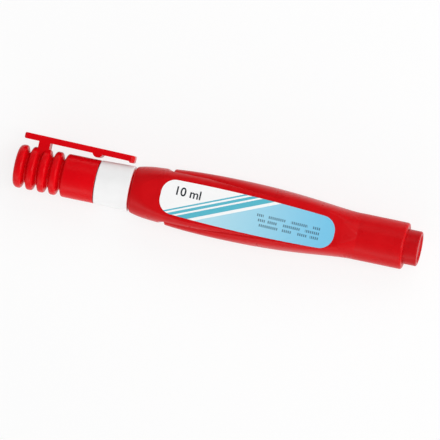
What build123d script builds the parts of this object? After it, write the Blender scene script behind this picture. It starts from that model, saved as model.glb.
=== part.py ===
from build123d import *
import os
from math import cos, pi, sin

# Correction pen lying on its flat back panel.
# X runs from the cap to the rear plug, Y points to the clip, Z out of the front label.
# Pieces are drawn with x = 0 at the barrel's front face and the pen axis on X,
# then moved so that the origin is the middle of the back panel. Sizes in millimetres.

# Barrel
barrel_length = 91.3
barrel_half_width = 10.2
barrel_half_thickness = 8.0
barrel_front_radius = 7.5
barrel_rear_radius = 7.7
barrel_wall = 1.4
front_land_length = 0.6
front_land_wall = 0.5
front_edge_round_share = 0.88
rear_edge_round = 0.75
panel_skim = 0.06
round_flat = 0.2

# Side notches, tongue and side pads of the barrel
ring_length = 9.9
ring_width_share = 0.873
notch_slope_run = 1.1
notch_width = 2.3
notch_depth = 0.53
tongue_end_width_share = 0.647
tongue_straight_share = 0.256
tongue_end_share = 0.557
pad_front_round = 0.6

# Form of the barrel's front part and of its wide part with the side pads, front to rear.
# Place is a share of the barrel length, half width of the barrel half width,
# half thickness of the panel height and flat of the section's own half width.
front_form_shares = (
    (0.030, 0.803, 0.983, 0.16),
    (0.070, 0.852, 1.000, 0.40),
    (0.110, 0.876, 1.000, 0.55),
    (0.155, 0.890, 1.000, 0.64),
    (0.241, 0.902, 1.000, 0.70),
)
pad_front_shares = (0.908, 0.410, 0.81)
wide_form_shares = (
    (0.175, 0.942, 0.425, 0.80),
    (0.241, 0.977, 0.470, 0.78),
    (0.383, 1.000, 0.680, 0.73),
    (0.460, 0.991, 0.845, 0.70),
    (0.530, 0.967, 0.970, 0.68),
    (0.630, 0.902, 1.010, 0.69),
    (0.694, 0.845, 1.000, 0.68),
    (0.760, 0.784, 0.997, 0.51),
)
neck_place_share = 0.83

# White collar with the cap seat and nose
collar_band_length = 11.9
collar_taper = 0.3
collar_lip = 0.05
collar_rear_round = 0.3
collar_front_round = 0.25
collar_plug_length = 9.5
collar_plug_wall = 1.37
cap_seat_length = 5.5
cap_seat_chamfer = 0.5
nose_length = 4.3
nose_step = 1.1
nose_front_radius = 2.6
chamber_radius = 2.7
chamber_front_wall = 3.3

# Writing tip
tip_shank_radius = 1.7
tip_flange_radius = 2.4
tip_flange_length = 0.8
tip_length = 10.5
tip_cone_radius = 2.2
tip_end_radius = 0.78
tip_end_round = 0.25
tip_bore_depth = 2.9
tip_seat_cone_length = 1.4

# Valve
needle_radius = 0.38
needle_protrusion = 0.6
needle_bore_clearance = 0.1
needle_grip_length = 2.0
needle_press_clearance = 0.02
carrier_clearance = 0.3
carrier_seat_gap = 0.2
carrier_head_length = 2.5
carrier_spigot_radius = 1.2
carrier_spigot_length = 2.0
carrier_flute_radius = 0.55
carrier_flute_count = 4
retainer_radius = 3.3
retainer_length = 2.5
retainer_spigot_length = 1.5
retainer_hole_radius = 0.7
retainer_place = 5.6
spring_wire_radius = 0.2
spring_mean_radius = 1.75
spring_turns = 7
spring_seat_gap = 0.03

# Cap with fins and clip
cap_length = 27.15
cap_wall = 1.3
cap_gap = 0.25
cap_skirt_depth = 9.9
cap_end_wall = 1.7
cap_tail_bore = 3.2
cap_mouth_round = 0.2
fin_count = 4
fin_pitch = 3.88
fin_first_groove = 3.65
fin_root_wall = 1.9
fin_groove_top = 2.0
fin_groove_bottom = 0.4
fin_rim_round_share = 0.45
fin_root_round_share = 0.4
tail_round_share = 0.62
clip_start = 0.9
clip_length = 37.1
clip_width = 5.6
clip_thickness = 2.0
clip_rise = 4.1
clip_end_drop = 0.55
clip_edge_round = 0.35
clip_corner_round = 0.7
clip_end_round = 1.2
clip_lip_length = 1.8
clip_lip_depth = 0.45
nub_place = 25.7
nub_length = 3.3
nub_gap = 0.6
strut_place = 6.05
strut_length = 3.75
strut_root_margin = 0.25

# Inner cap
inner_cap_length = 8.5
inner_cap_clearance = 0.25
inner_cap_pocket = 2.1

# Rear plug with the post for the cap
post_length = 4.6
post_round = 0.5
post_end_wall = 1.4
post_rim = 1.05
post_dish_depth = 0.5
post_clearance = 0.1
rear_plug_depth = 7.0
post_wall = 1.15

# Label
label_start_share = 0.111
label_end_share = 0.7505
label_front_share = 0.538
label_middle_share = 0.602
label_rear_share = 0.497
label_drop = 0.42
label_corner_share = 0.916
label_thickness = 0.12
label_tilt = -1.45

# Mixing ball
ball_radius = 2.5
ball_clearance = 0.05

# Fits and cutting
press_clearance = 0.03
seat_clearance = 0.05
overrun = 1.0

# Places that follow
front_bore = barrel_front_radius - barrel_wall
rear_bore = barrel_rear_radius - barrel_wall
front_land_radius = front_bore + front_land_wall
front_edge_round = (barrel_wall - front_land_wall) * front_edge_round_share
band_rear = -front_land_length
collar_rear_radius = barrel_front_radius
collar_front_radius = collar_rear_radius - collar_taper
collar_plug_radius = front_bore - press_clearance
collar_plug_bore = collar_plug_radius - collar_plug_wall
cap_radius = collar_front_radius - collar_lip
cap_bore = cap_radius - cap_wall
cap_seat_radius = cap_bore - seat_clearance
nose_rear_radius = cap_seat_radius - nose_step
post_radius = cap_bore - post_clearance
rear_plug_bore = post_radius - post_wall
clip_outer_height = cap_radius + clip_rise
fin_root_radius = cap_tail_bore + fin_root_wall
band_front = -collar_band_length
seat_front = band_front - cap_seat_length
nose_front = seat_front - nose_length
chamber_front = nose_front + chamber_front_wall
tip_end = nose_front - tip_length
tip_bore = tip_shank_radius - carrier_clearance
needle_hole = needle_radius + needle_bore_clearance
carrier_front = chamber_front + carrier_seat_gap
carrier_rear = carrier_front + carrier_head_length
carrier_stem_front = nose_front - tip_bore_depth + carrier_seat_gap
retainer_front = -retainer_place
cap_mouth = band_front - cap_gap
cap_tail = cap_mouth - cap_length
inner_cap_tail = cap_tail + cap_end_wall
ring_half_width = barrel_half_width * ring_width_share
tongue_half_width = ring_half_width - notch_depth
tongue_end_half_width = barrel_half_width * tongue_end_width_share
pad_start = ring_length + notch_width
fin_rim_round = (fin_pitch - fin_groove_top) * fin_rim_round_share
fin_root_round = fin_groove_bottom * fin_root_round_share
tail_round = (fin_first_groove - fin_groove_top / 2) * tail_round_share
label_length = barrel_length * (label_end_share - label_start_share)
panel_middle = barrel_length * (label_end_share + label_start_share) / 2


def turned(points):
    """Solid turned about the pen axis from (x, radius) points."""
    return revolve(make_face(Polyline(*points, close=True)), Axis.X)


def rod(start, end, radius):
    """Plain cylinder on the pen axis."""
    return turned([(start, 0), (end, 0), (end, radius), (start, radius)])


def rims(solid, place, radius):
    """Round edges of a solid at one place and radius on the pen axis."""
    circles = solid.edges().filter_by(GeomType.CIRCLE)
    here = circles.filter_by_position(Axis.X, place - press_clearance, place + press_clearance)
    return here.filter_by(lambda edge: abs(edge.radius - radius) < press_clearance)


def placed(shape):
    """Shape moved to the shared frame."""
    return Pos(-panel_middle, 0, barrel_half_thickness) * shape


# Barrel
def barrel_section(place, half_width, half_thickness, flat):
    """Section of the barrel: flat top and bottom, half-elliptical sides."""
    side = half_width - flat
    right = EllipticalCenterArc((flat, 0), side, half_thickness, -90, arc_size=180)
    top = Line((flat, half_thickness), (-flat, half_thickness))
    left = EllipticalCenterArc((-flat, 0), side, half_thickness, 90, arc_size=180)
    bottom = Line((-flat, -half_thickness), (flat, -half_thickness))
    return Plane.YZ.offset(place) * make_face([right, top, left, bottom])


def round_section(place, radius):
    """Section of the barrel where it is round, in four arcs to match the other sections."""
    flat = round_flat
    edge = (radius ** 2 - flat ** 2) ** 0.5
    right = ThreePointArc((flat, -edge), (radius, 0), (flat, edge))
    top = ThreePointArc((flat, edge), (0, radius), (-flat, edge))
    left = ThreePointArc((-flat, edge), (-radius, 0), (-flat, -edge))
    bottom = ThreePointArc((-flat, -edge), (0, -radius), (flat, -edge))
    return Plane.YZ.offset(place) * make_face([right, top, left, bottom])


def form_section(place, shares, inset):
    """Section of the barrel's form, drawn in by a wall thickness for its inside."""
    width_share, thickness_share, flat_share = shares
    half_width = barrel_half_width * width_share
    half_thickness = (barrel_half_thickness + panel_skim) * thickness_share
    return barrel_section(place, half_width - inset, half_thickness - inset, half_width * flat_share)


def form_sections(table_shares, inset):
    """Sections of one of the barrel's forms, front to rear."""
    return [form_section(barrel_length * place_share, shares, inset) for place_share, *shares in table_shares]


def between(start, end):
    """Block around the barrel between two places on the axis."""
    size = 4 * barrel_half_width
    return Pos((start + end) / 2, 0, 0) * Box(end - start, size, size)


def levelled(form, inset):
    """Form cut flat at the front and back panels."""
    height = 2 * (barrel_half_thickness - inset)
    return form & Pos(barrel_length / 2, 0, 0) * Box(2 * barrel_length, 4 * barrel_half_width, height)


def front_form(inset):
    """Front ring and the tongue that carries the panel between the side pads."""
    sections = form_sections(front_form_shares, inset)
    ring = loft([round_section(0, barrel_front_radius - inset)] + sections)
    end = barrel_length * tongue_end_share
    form = ring + extrude(sections[-1], end + overrun - barrel_length * front_form_shares[-1][0])
    start = ring_length - inset
    straight = barrel_length * tongue_straight_share
    past = barrel_length
    reach = 2 * barrel_half_width
    beside = extrude(make_face(Polyline(
        (start, reach),
        (start, ring_half_width - inset),
        (start + notch_slope_run, tongue_half_width - inset),
        (straight, tongue_half_width - inset),
        (end, tongue_end_half_width - inset),
        (end, 0),
        (past, 0),
        (past, reach),
        close=True,
    )), reach, both=True)
    return levelled(form - beside - mirror(beside, Plane.XZ), inset)


def neck_form(start, radius):
    """Round rear end of the barrel with its rounded rear edge."""
    end = barrel_length
    shoulder = end - rear_edge_round
    bulge = rear_edge_round * (1 - cos(pi / 4))
    face = make_face([
        Polyline((end, radius - rear_edge_round), (end, 0), (start, 0), (start, radius), (shoulder, radius)),
        ThreePointArc((shoulder, radius), (end - bulge, radius - bulge), (end, radius - rear_edge_round)),
    ])
    return revolve(face, Axis.X)


def wide_form(inset):
    """Wide part: side pads that grow to the full thickness, then the round neck."""
    neck = barrel_length * neck_place_share
    neck_radius = barrel_rear_radius - inset
    pad_front = form_section(pad_start, pad_front_shares, inset)
    form = loft([pad_front] + form_sections(wide_form_shares, inset) + [round_section(neck, neck_radius)])
    if inset:
        form = form & between(pad_start + inset, barrel_length)
    else:
        form = fillet(form.edges().group_by(Axis.X)[0], pad_front_round)
    return levelled(form + neck_form(neck, neck_radius), inset)


def barrel_form(inset):
    """Whole form of the barrel."""
    return front_form(inset) + wide_form(inset)


def make_cavity():
    """Space for the fluid between the collar's plug and the rear plug."""
    return barrel_form(barrel_wall) & between(collar_plug_length, barrel_length - rear_plug_depth)


def front_edge_cut():
    """Ring that rounds the barrel's front edge where it meets the collar."""
    place_share, width_share = front_form_shares[0][:2]
    flare = (barrel_half_width * width_share - barrel_front_radius) / (barrel_length * place_share)
    inner = barrel_front_radius - front_edge_round
    outer = barrel_front_radius + front_edge_round * flare
    reach = 2 * barrel_half_width
    bulge = front_edge_round * (1 - cos(pi / 4))
    face = make_face([
        ThreePointArc((0, inner), (bulge, outer - bulge), (front_edge_round, outer)),
        Polyline((front_edge_round, outer), (front_edge_round, reach), (-overrun, reach), (-overrun, inner),
                 (0, inner)),
    ])
    return revolve(face, Axis.X)


def make_barrel():
    """Red squeeze barrel with the land in front that leaves a groove beside the collar."""
    form = barrel_form(0) - front_edge_cut() + rod(band_rear, collar_plug_length, front_land_radius)
    bores = rod(band_rear - overrun, collar_plug_length, front_bore)
    bores += rod(barrel_length - rear_plug_depth, barrel_length + overrun, rear_bore)
    return form - make_cavity() - bores


# White collar
def make_collar():
    """Nozzle holder: nose, cap seat, visible band and plug, bored for the valve."""
    retainer_bore = retainer_radius + press_clearance
    shank_bore = tip_shank_radius + press_clearance
    collar = turned([
        (nose_front, shank_bore),
        (nose_front, nose_front_radius),
        (seat_front, nose_rear_radius),
        (seat_front, cap_seat_radius - cap_seat_chamfer),
        (seat_front + cap_seat_chamfer, cap_seat_radius),
        (band_front, cap_seat_radius),
        (band_front, collar_front_radius),
        (band_rear, collar_rear_radius),
        (band_rear, collar_plug_radius),
        (collar_plug_length, collar_plug_radius),
        (collar_plug_length, collar_plug_bore),
        (retainer_front + retainer_length, collar_plug_bore),
        (retainer_front + retainer_length, retainer_bore),
        (retainer_front, retainer_bore),
        (retainer_front, chamber_radius),
        (chamber_front, chamber_radius),
        (chamber_front, shank_bore),
    ])
    collar = fillet(rims(collar, band_rear, collar_rear_radius), collar_rear_round)
    return fillet(rims(collar, band_front, collar_front_radius), collar_front_round)


# Writing tip
def tip_radius_at(place):
    """Outer radius of the nib's cone at a place on the axis."""
    start = nose_front - tip_flange_length
    return tip_cone_radius + (tip_end_radius - tip_cone_radius) * (place - start) / (tip_end - start)


def make_tip():
    """Plastic nib with its flange, shank and needle bore."""
    flange_front = nose_front - tip_flange_length
    bore_front = nose_front - tip_bore_depth
    tip = turned([
        (tip_end, needle_hole),
        (tip_end, tip_end_radius),
        (flange_front, tip_cone_radius),
        (flange_front, tip_flange_radius),
        (nose_front, tip_flange_radius),
        (nose_front, tip_shank_radius),
        (chamber_front, tip_shank_radius),
        (chamber_front, tip_bore),
        (bore_front, tip_bore),
        (bore_front - tip_seat_cone_length, needle_hole),
    ])
    return fillet(rims(tip, tip_end, tip_end_radius), tip_end_round)


# Valve
def make_needle():
    """Steel needle with a domed writing end."""
    front = tip_end - needle_protrusion
    rear = carrier_stem_front + needle_grip_length
    dome = front + needle_radius
    face = make_face([
        ThreePointArc((front, 0), (dome - needle_radius * cos(pi / 4), needle_radius * sin(pi / 4)),
                      (dome, needle_radius)),
        Line((dome, needle_radius), (rear, needle_radius)),
        Line((rear, needle_radius), (rear, 0)),
        Line((rear, 0), (front, 0)),
    ])
    return revolve(face, Axis.X)


def make_carrier():
    """Plunger that holds the needle, fluted so that the fluid passes its head."""
    head_radius = chamber_radius - carrier_clearance
    stem_radius = tip_bore - carrier_clearance
    grip = needle_radius + needle_press_clearance
    carrier = turned([
        (carrier_stem_front, grip),
        (carrier_stem_front, stem_radius),
        (carrier_front, stem_radius),
        (carrier_front, head_radius),
        (carrier_rear, head_radius),
        (carrier_rear, carrier_spigot_radius),
        (carrier_rear + carrier_spigot_length, carrier_spigot_radius),
        (carrier_rear + carrier_spigot_length, 0),
        (carrier_stem_front + needle_grip_length, 0),
        (carrier_stem_front + needle_grip_length, grip),
    ])
    flute = Pos(0, head_radius, 0) * rod(carrier_front - overrun, carrier_rear + overrun, carrier_flute_radius)
    for step in range(carrier_flute_count):
        carrier -= Rot(360 * step / carrier_flute_count, 0, 0) * flute
    return carrier


def make_spring():
    """Coil spring between the carrier and the retainer, one unbroken tube."""
    start = carrier_rear + spring_wire_radius + spring_seat_gap
    length = retainer_front - spring_wire_radius - spring_seat_gap - start
    pitch = length / spring_turns
    print("spring: least gap between turns", round(pitch - 2 * spring_wire_radius, 2), "mm")
    path = Helix(pitch, length, spring_mean_radius, center=(start, 0, 0), direction=(1, 0, 0))
    wire = Plane(path @ 0, z_dir=path % 0) * Circle(spring_wire_radius)
    return sweep(wire, path=path, is_frenet=True)


def make_retainer():
    """Bush behind the spring with its pilot and the hole for the fluid."""
    rear = retainer_front + retainer_length
    pilot = retainer_front - retainer_spigot_length
    return turned([
        (pilot, retainer_hole_radius),
        (pilot, carrier_spigot_radius),
        (retainer_front, carrier_spigot_radius),
        (retainer_front, retainer_radius),
        (rear, retainer_radius),
        (rear, retainer_hole_radius),
    ])


# Cap
def clip_height(place):
    """Height of the clip's sloping outer face at a place on the axis."""
    return clip_outer_height - clip_end_drop * (place - cap_tail - clip_start) / clip_length


def clip_outline():
    """Side outline of the pocket clip: strip, nub towards the skirt and lip at the free end."""
    start = cap_tail + clip_start
    end = start + clip_length

    def inner(place):
        return clip_height(place) - clip_thickness

    nub_middle = cap_tail + nub_place
    nub_start = nub_middle - nub_length / 2
    nub_end = nub_middle + nub_length / 2
    nub_low = cap_radius + nub_gap
    lip_start = end - clip_lip_length
    lip_low = inner(end) - clip_lip_depth
    outline = make_face([
        Polyline((nub_start, inner(nub_start)), (start, inner(start)), (start, clip_height(start)),
                 (end, clip_height(end)), (end, lip_low), (lip_start + clip_lip_depth, lip_low),
                 (lip_start, inner(lip_start)), (nub_end, inner(nub_end))),
        ThreePointArc((nub_end, inner(nub_end)), (nub_middle, nub_low), (nub_start, inner(nub_start))),
    ])
    corners = outline.vertices().group_by(Axis.X)
    return fillet(corners[0] + corners[-1], clip_corner_round)


def make_clip():
    """Clip strip: side outline, ends rounded in plan and softened outer edges."""
    strip = extrude(clip_outline(), clip_width / 2, both=True)
    start = cap_tail + clip_start
    plan = Plane.XZ * Pos(start + clip_length / 2, 0) * RectangleRounded(clip_length, clip_width, clip_end_round)
    strip = strip & extrude(plan, 2 * clip_outer_height, both=True)
    first = start - overrun
    across = Plane((first, clip_height(first), 0), x_dir=(0, 0, 1), z_dir=(clip_length, -clip_end_drop, 0))
    section = across * Pos(0, clip_rise) * RectangleRounded(clip_width, 2 * clip_rise, clip_edge_round)
    return strip & extrude(section, clip_length + 2 * overrun)


def make_cap():
    """Cap shell: skirt, finned tail, clip strut and clip in one moulding."""
    bore_end = cap_mouth - cap_skirt_depth
    outline = [(cap_tail, 0), (cap_tail, cap_radius)]
    for step in range(fin_count):
        middle = cap_tail + fin_first_groove + step * fin_pitch
        outline.append((middle - fin_groove_top / 2, cap_radius))
        outline.append((middle - fin_groove_bottom / 2, fin_root_radius))
        outline.append((middle + fin_groove_bottom / 2, fin_root_radius))
        outline.append((middle + fin_groove_top / 2, cap_radius))
    outline += [
        (cap_mouth, cap_radius),
        (cap_mouth, cap_bore),
        (bore_end, cap_bore),
        (bore_end, cap_tail_bore),
        (inner_cap_tail, cap_tail_bore),
        (inner_cap_tail, 0),
    ]
    profile = make_face(Polyline(*outline, close=True))
    rim_corners = [v for v in profile.vertices() if abs(v.Y - cap_radius) < seat_clearance and v.X < bore_end]
    rim_corners.sort(key=lambda corner: corner.X)
    profile = fillet(rim_corners[1:], fin_rim_round)
    tail_corner = [v for v in profile.vertices() if abs(v.Y - cap_radius) + abs(v.X - cap_tail) < seat_clearance]
    profile = fillet(tail_corner, tail_round)
    root_corners = [v for v in profile.vertices() if abs(v.Y - fin_root_radius) < seat_clearance]
    profile = fillet(root_corners, fin_root_round)
    shell = revolve(profile, Axis.X)
    shell = fillet(rims(shell, cap_mouth, cap_radius), cap_mouth_round)
    clip = make_clip()
    strut_low = cap_tail_bore + strut_root_margin
    strut_high = clip_outer_height - clip_thickness / 2
    strut_start = cap_tail + strut_place
    strut_face = make_face(Polyline(
        (strut_start, strut_low),
        (strut_start + strut_length, strut_low),
        (strut_start + strut_length, strut_high),
        (strut_start, strut_high),
        close=True,
    ))
    return shell + extrude(strut_face, clip_width / 2, both=True) + clip


def make_inner_cap():
    """Soft thimble in the cap's tail that closes around the nib."""
    radius = cap_tail_bore - press_clearance
    mouth = inner_cap_tail + inner_cap_length
    seat = tip_end_radius + inner_cap_clearance
    pocket = tip_end - inner_cap_pocket
    return turned([
        (inner_cap_tail, 0),
        (inner_cap_tail, radius),
        (mouth, radius),
        (mouth, tip_radius_at(mouth) + inner_cap_clearance),
        (tip_end, seat),
        (pocket, seat),
        (pocket, 0),
    ])


# Rear plug
def make_rear_plug():
    """Hollow plug in the barrel's rear end with the post for the cap."""
    plug_radius = rear_bore - press_clearance
    front = barrel_length - rear_plug_depth
    end = barrel_length + post_length
    dish_radius = post_radius - post_rim
    inner_end = end - post_dish_depth - post_end_wall
    plug = turned([
        (front, rear_plug_bore),
        (front, plug_radius),
        (barrel_length, plug_radius),
        (barrel_length, post_radius),
        (end, post_radius),
        (end, dish_radius),
        (end - post_dish_depth, dish_radius - post_dish_depth),
        (end - post_dish_depth, 0),
        (inner_end, 0),
        (inner_end, rear_plug_bore),
    ])
    return fillet(rims(plug, end, post_radius), post_round)


# Label
def make_label():
    """Film label on the front panel, stuck on slightly askew."""
    half = label_length / 2
    front = barrel_half_width * label_front_share
    middle = barrel_half_width * label_middle_share
    rear = barrel_half_width * label_rear_share
    outline = make_face([
        Line((-half, -front), (-half, front)),
        ThreePointArc((-half, front), (0, middle), (half, rear)),
        Line((half, rear), (half, -rear)),
        ThreePointArc((half, -rear), (0, -middle), (-half, -front)),
    ])
    outline = fillet(outline.vertices(), rear * label_corner_share)
    film = extrude(Rot(0, 0, label_tilt) * outline, label_thickness)
    return Pos(panel_middle, -label_drop, barrel_half_thickness) * film


# Mixing ball
def make_ball():
    """Loose steel ball resting on the inside of the back panel."""
    floor = barrel_wall - barrel_half_thickness
    return Pos(panel_middle, 0, floor + ball_radius + ball_clearance) * Sphere(ball_radius)


# Export
pieces = {
    "barrel": make_barrel(),
    "rear_plug": make_rear_plug(),
    "nose_collar": make_collar(),
    "writing_tip": make_tip(),
    "valve_needle": make_needle(),
    "needle_carrier": make_carrier(),
    "valve_spring": make_spring(),
    "spring_retainer": make_retainer(),
    "mixing_ball": make_ball(),
    "cap_shell": make_cap(),
    "inner_cap": make_inner_cap(),
    "front_label": make_label(),
}
print("fluid space", round(make_cavity().volume / 1000, 2), "ml")
os.makedirs("parts", exist_ok=True)
for name, shape in pieces.items():
    export_step(placed(shape), f"parts/{name}.step")
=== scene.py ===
import math

import bmesh
import bpy
from mathutils import Color, Matrix, Vector


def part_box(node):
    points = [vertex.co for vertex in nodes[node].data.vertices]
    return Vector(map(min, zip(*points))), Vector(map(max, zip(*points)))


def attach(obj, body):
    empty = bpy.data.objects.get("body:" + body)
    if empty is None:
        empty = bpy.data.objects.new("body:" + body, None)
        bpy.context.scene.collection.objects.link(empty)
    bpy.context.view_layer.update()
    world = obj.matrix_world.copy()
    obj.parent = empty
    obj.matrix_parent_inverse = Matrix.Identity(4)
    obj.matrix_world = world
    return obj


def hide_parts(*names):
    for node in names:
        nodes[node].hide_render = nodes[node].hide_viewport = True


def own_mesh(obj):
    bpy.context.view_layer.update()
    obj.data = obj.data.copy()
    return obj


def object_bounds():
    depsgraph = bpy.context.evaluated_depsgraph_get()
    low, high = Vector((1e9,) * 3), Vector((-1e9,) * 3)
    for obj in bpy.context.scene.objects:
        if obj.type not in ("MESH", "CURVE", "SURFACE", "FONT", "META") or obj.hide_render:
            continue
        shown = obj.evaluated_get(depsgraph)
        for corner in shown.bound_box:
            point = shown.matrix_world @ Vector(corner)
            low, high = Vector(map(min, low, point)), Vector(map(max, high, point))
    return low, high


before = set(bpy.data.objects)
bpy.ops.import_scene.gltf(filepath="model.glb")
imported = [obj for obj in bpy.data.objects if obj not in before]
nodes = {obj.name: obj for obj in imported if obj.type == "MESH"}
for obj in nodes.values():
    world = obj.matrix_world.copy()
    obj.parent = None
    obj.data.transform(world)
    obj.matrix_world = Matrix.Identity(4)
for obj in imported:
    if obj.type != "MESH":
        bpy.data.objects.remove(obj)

cad_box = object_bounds()
scene = bpy.context.scene
MM = 0.001
AXIS_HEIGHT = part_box("barrel")[1].z / 2
WHITE = (1.0, 1.0, 1.0, 1.0)
SCREEN_WHITE = 255

# The colour mix node has several sockets of each name, so its colour sockets are taken by number.
MIX_FACTOR = 0
MIX_FIRST = 6
MIX_SECOND = 7
MIX_RESULT = 2


# Shader helpers
def new_material(name):
    mat = bpy.data.materials.new(name)
    mat.use_nodes = True
    tree = mat.node_tree
    return mat, tree, tree.nodes["Principled BSDF"]


def add(tree, kind, **values):
    """New node; each value goes to the input of that name or else to the node's own setting."""
    node = tree.nodes.new(kind)
    for key, value in values.items():
        if key in node.inputs:
            node.inputs[key].default_value = value
        else:
            setattr(node, key, value)
    return node


def link(tree, source, target):
    tree.links.new(source, target)


def feed(tree, value, socket):
    """Number or colour set on a socket, or another node's output linked to it."""
    if isinstance(value, (int, float, tuple)):
        socket.default_value = value
    else:
        link(tree, value, socket)


def math_node(tree, operation, *values):
    node = add(tree, "ShaderNodeMath", operation=operation)
    for value, socket in zip(values, node.inputs):
        feed(tree, value, socket)
    return node.outputs["Value"]


def mix_colour(tree, factor, first, second):
    node = add(tree, "ShaderNodeMix", data_type="RGBA")
    feed(tree, factor, node.inputs[MIX_FACTOR])
    feed(tree, first, node.inputs[MIX_FIRST])
    feed(tree, second, node.inputs[MIX_SECOND])
    return node.outputs[MIX_RESULT]


def srgb(*levels):
    """Colour from the 0 to 255 levels seen on a screen."""
    seen = Color([level / SCREEN_WHITE for level in levels])
    return (*seen.from_srgb_to_scene_linear(), 1.0)


def shade(colour, factor=1.0, rise=0.0):
    """Lighter or darker colour, at most white."""
    return tuple(min(1.0, c * factor + rise) for c in colour[:3]) + (1.0,)


def noise(tree, vector, scale, detail=3.0, rough=0.55):
    node = add(tree, "ShaderNodeTexNoise", Scale=scale, Detail=detail, Roughness=rough)
    link(tree, vector, node.inputs["Vector"])
    return node.outputs["Fac"]


def ramp(tree, source, low, high, value_low=0.0, value_high=1.0):
    """Value that goes from one level to another while the source goes from low to high."""
    limits = {"From Min": low, "From Max": high, "To Min": value_low, "To Max": value_high}
    node = add(tree, "ShaderNodeMapRange", **limits)
    link(tree, source, node.inputs["Value"])
    return node.outputs["Result"]


def inside(tree, value, low, high):
    """1 where a value lies between two limits."""
    above = math_node(tree, "GREATER_THAN", value, low)
    return math_node(tree, "MULTIPLY", above, math_node(tree, "LESS_THAN", value, high))


def object_coords(tree):
    """Place on the piece, in metres."""
    return add(tree, "ShaderNodeTexCoord").outputs["Object"]


def split(tree, vector):
    """The X, Y and Z shares of a vector."""
    node = add(tree, "ShaderNodeSeparateXYZ")
    link(tree, vector, node.inputs["Vector"])
    return node.outputs


# Surface grain. Scales are in noise cells per metre.
# A band gives the two noise levels between which a cloud or a scratch comes in.
# The depth of a scratch and the height of the parting line are shares of the bump height.
CLOUD_SCALE = 160
CLOUD_DETAIL = 4
CLOUD_BAND = (0.3, 0.7)
SKIN_SCALE = 900
STREAK_SCALE = 220
STREAK_DETAIL = 5
STREAK_ROUGHNESS = 0.7
STREAK_STRETCH = (1.0, 26.0, 26.0)
STREAK_TURN = (0.0, 0.0, 0.4)
STREAK_BAND = (0.66, 0.74)
SCRATCH_DULLING = 2.0
SCRATCH_DEPTH = 0.2
BUMP_HEIGHT = 0.2 * MM
PARTING_WIDTH = 0.14 * MM
PARTING_HEIGHT = 0.9


def parting_line(tree, height):
    """Fine raised line where the two halves of the mould met, at the height of the pen axis."""
    near = math_node(tree, "ABSOLUTE", math_node(tree, "SUBTRACT", height, AXIS_HEIGHT))
    return ramp(tree, near, 0.0, PARTING_WIDTH / 2, PARTING_HEIGHT, 0.0)


def surface(tree, shader, coords, roughness, spread, peel, scratch, ridge=None):
    """Cloudy gloss, fine skin texture and a few handling scratches."""
    clouds = noise(tree, coords, CLOUD_SCALE, CLOUD_DETAIL)
    stretched = add(tree, "ShaderNodeMapping", Scale=STREAK_STRETCH, Rotation=STREAK_TURN)
    link(tree, coords, stretched.inputs["Vector"])
    streaks = noise(tree, stretched.outputs["Vector"], STREAK_SCALE, STREAK_DETAIL, STREAK_ROUGHNESS)
    marks = ramp(tree, streaks, *STREAK_BAND)
    gloss = ramp(tree, clouds, *CLOUD_BAND, roughness - spread, roughness + spread)
    dulled = math_node(tree, "MULTIPLY", marks, scratch * SCRATCH_DULLING)
    link(tree, math_node(tree, "ADD", gloss, dulled), shader.inputs["Roughness"])
    skin = noise(tree, coords, SKIN_SCALE)
    height = math_node(tree, "SUBTRACT", skin, math_node(tree, "MULTIPLY", marks, SCRATCH_DEPTH))
    if ridge is not None:
        height = math_node(tree, "ADD", height, ridge)
    bump = add(tree, "ShaderNodeBump", Strength=peel, Distance=BUMP_HEIGHT)
    link(tree, height, bump.inputs["Height"])
    link(tree, bump.outputs["Normal"], shader.inputs["Normal"])
    return clouds, marks


# Finishes
BARREL_RED = srgb(206, 10, 18)
PLUG_RED = srgb(192, 12, 20)
CAP_RED = srgb(224, 4, 16)
COLLAR_WHITE = srgb(247, 247, 247)
NATURAL = {"colour": srgb(226, 224, 214), "roughness": 0.42, "tint": 0.04}
FLUID_WHITE = srgb(244, 244, 240)
STEEL_GREY = (0.62, 0.62, 0.64, 1.0)
STEEL_SHADE = 0.88
PLASTIC_IOR = 1.49
PLASTIC_SPECULAR = 0.12
TINT_RISE = 0.6
SCRATCH_PALING = 0.05
FLUID_REACH = 5.0 * MM
FLUID_PATCHES = 700
FLUID_BAND = (0.9, 1.05)


def plastic(name, colour, roughness, spread=0.05, tint=0.06, peel=0.05, scratch=0.05, parting=False):
    """Moulded plastic with slight colour clouds and paler scratches."""
    mat, tree, shader = new_material(name)
    coords = object_coords(tree)
    ridge = parting_line(tree, split(tree, coords)["Z"]) if parting else None
    clouds, marks = surface(tree, shader, coords, roughness, spread, peel, scratch, ridge)
    dark = shade(colour, factor=1 - tint)
    light = shade(colour, factor=1 + tint * TINT_RISE)
    body = mix_colour(tree, ramp(tree, clouds, *CLOUD_BAND), dark, light)
    pale = shade(colour, rise=SCRATCH_PALING)
    worn = mix_colour(tree, math_node(tree, "MULTIPLY", marks, scratch), body, pale)
    link(tree, worn, shader.inputs["Base Color"])
    shader.inputs["IOR"].default_value = PLASTIC_IOR
    shader.inputs["Specular IOR Level"].default_value = PLASTIC_SPECULAR
    return mat


def metal(name, colour, roughness):
    """Drawn steel with cloudy gloss."""
    mat, tree, shader = new_material(name)
    coords = object_coords(tree)
    clouds, _ = surface(tree, shader, coords, roughness, spread=0.06, peel=0.04, scratch=0.08)
    body = mix_colour(tree, clouds, shade(colour, factor=STEEL_SHADE), colour)
    link(tree, body, shader.inputs["Base Color"])
    shader.inputs["Metallic"].default_value = 1.0
    return mat


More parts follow.
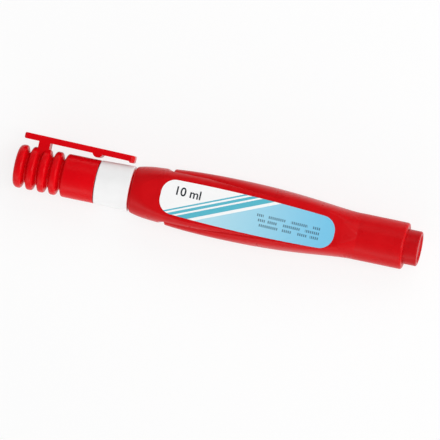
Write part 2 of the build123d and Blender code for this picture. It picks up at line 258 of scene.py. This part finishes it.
def with_dried_fluid(mat, end):
    """Nib plastic with patches of dried white fluid, thickest at its writing end."""
    tree = mat.node_tree
    colour = tree.nodes["Principled BSDF"].inputs["Base Color"]
    clean = colour.links[0].from_socket
    coords = object_coords(tree)
    near = ramp(tree, split(tree, coords)["X"], end, end + FLUID_REACH, 1.0, 0.0)
    patches = math_node(tree, "ADD", near, noise(tree, coords, FLUID_PATCHES))
    link(tree, mix_colour(tree, ramp(tree, patches, *FLUID_BAND), clean, FLUID_WHITE), colour)
    return mat


def dress(mat, *names):
    for name in names:
        mesh = nodes[name].data
        mesh.materials.clear()
        mesh.materials.append(mat)


nib_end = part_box("writing_tip")[0].x
dress(plastic("barrel_red", BARREL_RED, roughness=0.30, parting=True), "barrel")
dress(plastic("plug_red", PLUG_RED, roughness=0.30), "rear_plug")
dress(plastic("cap_red", CAP_RED, roughness=0.26, parting=True), "cap_shell")
dress(plastic("collar_white", COLLAR_WHITE, roughness=0.34, tint=0.02), "nose_collar")
dress(plastic("natural_plastic", **NATURAL), "needle_carrier", "spring_retainer", "inner_cap")
dress(with_dried_fluid(plastic("nib_plastic", **NATURAL), nib_end), "writing_tip")
dress(metal("steel", STEEL_GREY, roughness=0.24), "valve_needle", "valve_spring", "mixing_ball")


# Valve spring
def working_spring():
    """Copy of the valve spring with a mesh of its own, carried by the pen in place of the imported spring."""
    spring = bpy.data.objects.new("working_spring", nodes["valve_spring"].data.copy())
    scene.collection.objects.link(spring)
    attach(spring, "pen")
    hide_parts("valve_spring")
    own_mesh(spring)


working_spring()

# Label film with a plain printed design: a slanted blue field, teal slashes and rows of fine print.
# Places are in millimetres from the label's middle, along and across it. Waves are in radians per millimetre.
LABEL_TILT = math.radians(-1.45)
FIELD_SLANT = math.radians(24.0)
FIELD_EDGE = -3.0
FIELD_FADE = (-16.0, 26.0)
FIELD_PALE = srgb(186, 228, 240)
FIELD_BLUE = srgb(122, 200, 234)
FILM_WHITE = srgb(252, 252, 252)
SLASHES = ((-9.6, -5.4), (-13.2, -11.0), (-15.9, -14.7))
SLASH_TEAL = srgb(88, 186, 206)
PRINT_SPAN = (3.0, 24.5)
PRINT_ROWS = (0.6, -1.0, -2.6)
PRINT_HEIGHT = 0.85
PRINT_INK = srgb(44, 62, 84)
PRINT_DENSITY = 0.75
WORD_WAVES = ((0.83, 1.71), (0.94, 1.58), (1.05, 1.45))
WORD_LEVEL = -0.75
STROKE_WAVE = 9.7
STROKE_LEVEL = -0.35
label_low, label_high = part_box("front_label")
label_mid = (label_low + label_high) / 2


def label_coords(tree):
    """Place on the film, and its distances along and across the label."""
    coords = object_coords(tree)
    turn = add(tree, "ShaderNodeMapping", vector_type="TEXTURE", Location=label_mid)
    turn.inputs["Rotation"].default_value = (0.0, 0.0, LABEL_TILT)
    turn.inputs["Scale"].default_value = (MM, MM, MM)
    link(tree, coords, turn.inputs["Vector"])
    shares = split(tree, turn.outputs["Vector"])
    return coords, shares["X"], shares["Y"]


def wave(tree, value, rate):
    return math_node(tree, "SINE", math_node(tree, "MULTIPLY", value, rate))


def fine_print(tree, along, across):
    """Rows of short strokes in groups of uneven length, as unreadable small print."""
    strokes = math_node(tree, "GREATER_THAN", wave(tree, along, STROKE_WAVE), STROKE_LEVEL)
    strokes = math_node(tree, "MULTIPLY", strokes, inside(tree, along, *PRINT_SPAN))
    ink = 0.0
    for row, (long_rate, short_rate) in zip(PRINT_ROWS, WORD_WAVES):
        waves = math_node(tree, "ADD", wave(tree, along, long_rate), wave(tree, along, short_rate))
        words = math_node(tree, "GREATER_THAN", waves, WORD_LEVEL)
        line = inside(tree, across, row - PRINT_HEIGHT / 2, row + PRINT_HEIGHT / 2)
        ink = math_node(tree, "MAXIMUM", math_node(tree, "MULTIPLY", line, words), ink)
    return math_node(tree, "MULTIPLY", ink, strokes)


def label_film():
    """White film with the printed design."""
    mat, tree, shader = new_material("label_film")
    coords, along, across = label_coords(tree)
    lean = math_node(tree, "MULTIPLY", across, 1 / math.tan(FIELD_SLANT))
    slanted = math_node(tree, "SUBTRACT", along, lean)
    blue = mix_colour(tree, ramp(tree, along, *FIELD_FADE), FIELD_PALE, FIELD_BLUE)
    colour = mix_colour(tree, math_node(tree, "GREATER_THAN", slanted, FIELD_EDGE), FILM_WHITE, blue)
    for start, end in SLASHES:
        colour = mix_colour(tree, inside(tree, slanted, start, end), colour, SLASH_TEAL)
    ink = math_node(tree, "MULTIPLY", fine_print(tree, along, across), PRINT_DENSITY)
    link(tree, mix_colour(tree, ink, colour, PRINT_INK), shader.inputs["Base Color"])
    surface(tree, shader, coords, roughness=0.32, spread=0.04, peel=0.03, scratch=0.03)
    return mat


dress(label_film(), "front_label")

# Figures printed on the label, placed from its middle
MARK_TEXT = "10 ml"
MARK_PLACE = (-25.0 * MM, 0.9 * MM, 0.0)
MARK_SIZE = 4.0 * MM
MARK_WEIGHT = 0.06 * MM
MARK_LIFT = 0.02 * MM
MARK_DEPTH = 0.02 * MM
MARK_WELD = 0.001 * MM
MARK_INK = srgb(40, 44, 52)


def welded(mesh):
    """Mesh with its coincident points joined, so that faces and sides make one closed skin."""
    skin = bmesh.new()
    skin.from_mesh(mesh)
    bmesh.ops.remove_doubles(skin, verts=skin.verts, dist=MARK_WELD)
    skin.to_mesh(mesh)
    skin.free()
    return mesh


def fill_mark():
    """Printed figures, a thin layer of ink on the label."""
    curve = bpy.data.curves.new("fill_mark", "FONT")
    curve.body = MARK_TEXT
    curve.size = MARK_SIZE
    curve.offset = MARK_WEIGHT
    curve.extrude = MARK_DEPTH / 2
    drawn = bpy.data.objects.new("fill_mark_curve", curve)
    scene.collection.objects.link(drawn)
    mesh = welded(bpy.data.meshes.new_from_object(drawn))
    bpy.data.objects.remove(drawn)
    place = Vector((label_mid.x, label_mid.y, label_high.z + MARK_LIFT))
    turn = Matrix.Rotation(LABEL_TILT, 4, "Z")
    mesh.transform(Matrix.Translation(place) @ turn @ Matrix.Translation(MARK_PLACE))
    mesh.materials.append(plastic("print_ink", MARK_INK, roughness=0.4, tint=0.1))
    mark = bpy.data.objects.new("fill_mark", mesh)
    scene.collection.objects.link(mark)
    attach(mark, "pen")


fill_mark()

# Light: each lamp's place and size in metres, its power in watts and whether it shows in reflections.
# The low key lamp adds to the sheen along the lower edge. The rim lamp catches the rear plug's edge.
# The overhead lamp stands far enough to the rear that the flat panel doesn't mirror it to the camera.
LAMPS = {
    "key": ((-0.25, -0.95, 0.34), (1.1, 0.4), 2.4, True),
    "fill": ((0.30, 0.70, 0.66), (1.1, 0.6), 3.7, False),
    "overhead": ((0.55, 0.05, 1.0), (0.5, 0.9), 4.9, True),
    "rim": ((0.95, 0.0, 0.32), (0.9, 0.3), 2.2, True),
}
CEILING_BAND = (0.62, 0.95)
CEILING_LEVEL = 0.25
WALL_LEVELS = (0.85, 0.2)


def area_light(name, place, size, power, mirrored):
    """Soft lamp that faces the pen."""
    lamp = bpy.data.lights.new(name, "AREA")
    lamp.shape = "RECTANGLE"
    lamp.size, lamp.size_y = size
    lamp.energy = power
    obj = bpy.data.objects.new(name, lamp)
    obj.location = place
    obj.rotation_euler = (-Vector(place)).to_track_quat("-Z", "Y").to_euler()
    obj.visible_glossy = mirrored
    scene.collection.objects.link(obj)


def studio_world():
    """White studio walls under a darker ceiling, brightest on the side of the key lamp."""
    world = bpy.data.worlds.new("studio")
    world.use_nodes = True
    tree = world.node_tree
    direction = split(tree, add(tree, "ShaderNodeTexCoord").outputs["Generated"])
    ceiling = ramp(tree, direction["Z"], *CEILING_BAND, 1.0, CEILING_LEVEL)
    walls = ramp(tree, direction["Y"], -1.0, 1.0, *WALL_LEVELS)
    background = tree.nodes["Background"]
    background.inputs["Color"].default_value = WHITE
    link(tree, math_node(tree, "MULTIPLY", ceiling, walls), background.inputs["Strength"])
    return world


for name, settings in LAMPS.items():
    area_light(name, *settings)
scene.world = studio_world()

# Floor
PAPER_TONES = ((0.93, 0.93, 0.93, 1.0), (0.95, 0.95, 0.95, 1.0))
PAPER_GRAIN = 300
PAPER_ROUGHNESS = 0.9
PAPER_SHINE = 0.8
FLOOR_SIZE = 4.0
FLOOR_DROP = 0.05 * MM


def paper():
    """White paper that keeps a faint shadow: seen directly or mirrored, part of it shines evenly white."""
    mat, tree, shader = new_material("paper_floor")
    grain = noise(tree, object_coords(tree), PAPER_GRAIN)
    link(tree, mix_colour(tree, grain, *PAPER_TONES), shader.inputs["Base Color"])
    shader.inputs["Roughness"].default_value = PAPER_ROUGHNESS
    white = add(tree, "ShaderNodeEmission", Color=WHITE, Strength=1.0)
    rays = add(tree, "ShaderNodeLightPath").outputs
    mirrored = math_node(tree, "MAXIMUM", rays["Is Glossy Ray"], rays["Is Transmission Ray"])
    seen = math_node(tree, "MAXIMUM", rays["Is Camera Ray"], mirrored)
    share = math_node(tree, "MULTIPLY", seen, PAPER_SHINE)
    mix = add(tree, "ShaderNodeMixShader")
    for source, socket in zip((share, shader.outputs["BSDF"], white.outputs["Emission"]), mix.inputs):
        link(tree, source, socket)
    link(tree, mix.outputs["Shader"], tree.nodes["Material Output"].inputs["Surface"])
    return mat


bpy.ops.mesh.primitive_plane_add(size=FLOOR_SIZE, location=(0, 0, -FLOOR_DROP))
floor = bpy.context.object
floor.name = "floor"
floor.data.materials.append(paper())

# Camera: long lens above the label, leaning towards the rear plug, rolled as in the photo.
# Offsets of the pen's middle from the picture's middle are in pixels of the 440 wide picture.
# The camera's distances are in metres, its sensor width in millimetres.
TILT = math.radians(7.7)
ROLL = math.radians(11.8)
PICTURE_WIDTH = 440
PIXEL = 0.3255 * MM
OFFSET_RIGHT = -2.2
OFFSET_UP = 13.0
DISTANCE = 4.0
FAR = 20.0
SENSOR = 36.0


def photo_camera():
    """Camera at the photograph's viewing angle."""
    towards = Vector((math.sin(TILT), 0, math.cos(TILT)))
    along_pen = Vector((math.cos(TILT), 0, -math.sin(TILT)))
    beside_pen = Vector((0, 1, 0))
    right = math.cos(ROLL) * along_pen + math.sin(ROLL) * beside_pen
    up = math.cos(ROLL) * beside_pen - math.sin(ROLL) * along_pen
    pen_mid = Vector(((cad_box[0].x + cad_box[1].x) / 2, 0, AXIS_HEIGHT))
    place = pen_mid - right * OFFSET_RIGHT * PIXEL - up * OFFSET_UP * PIXEL + towards * DISTANCE
    camera = bpy.data.cameras.new("camera")
    camera.sensor_width = SENSOR
    camera.lens = SENSOR * DISTANCE / (PICTURE_WIDTH * PIXEL)
    camera.clip_end = FAR
    obj = bpy.data.objects.new("camera", camera)
    obj.matrix_world = Matrix.Translation(place) @ Matrix((right, up, towards)).transposed().to_4x4()
    return obj


camera = photo_camera()
scene.collection.objects.link(camera)
scene.camera = camera
scene.view_settings.view_transform = "Standard"
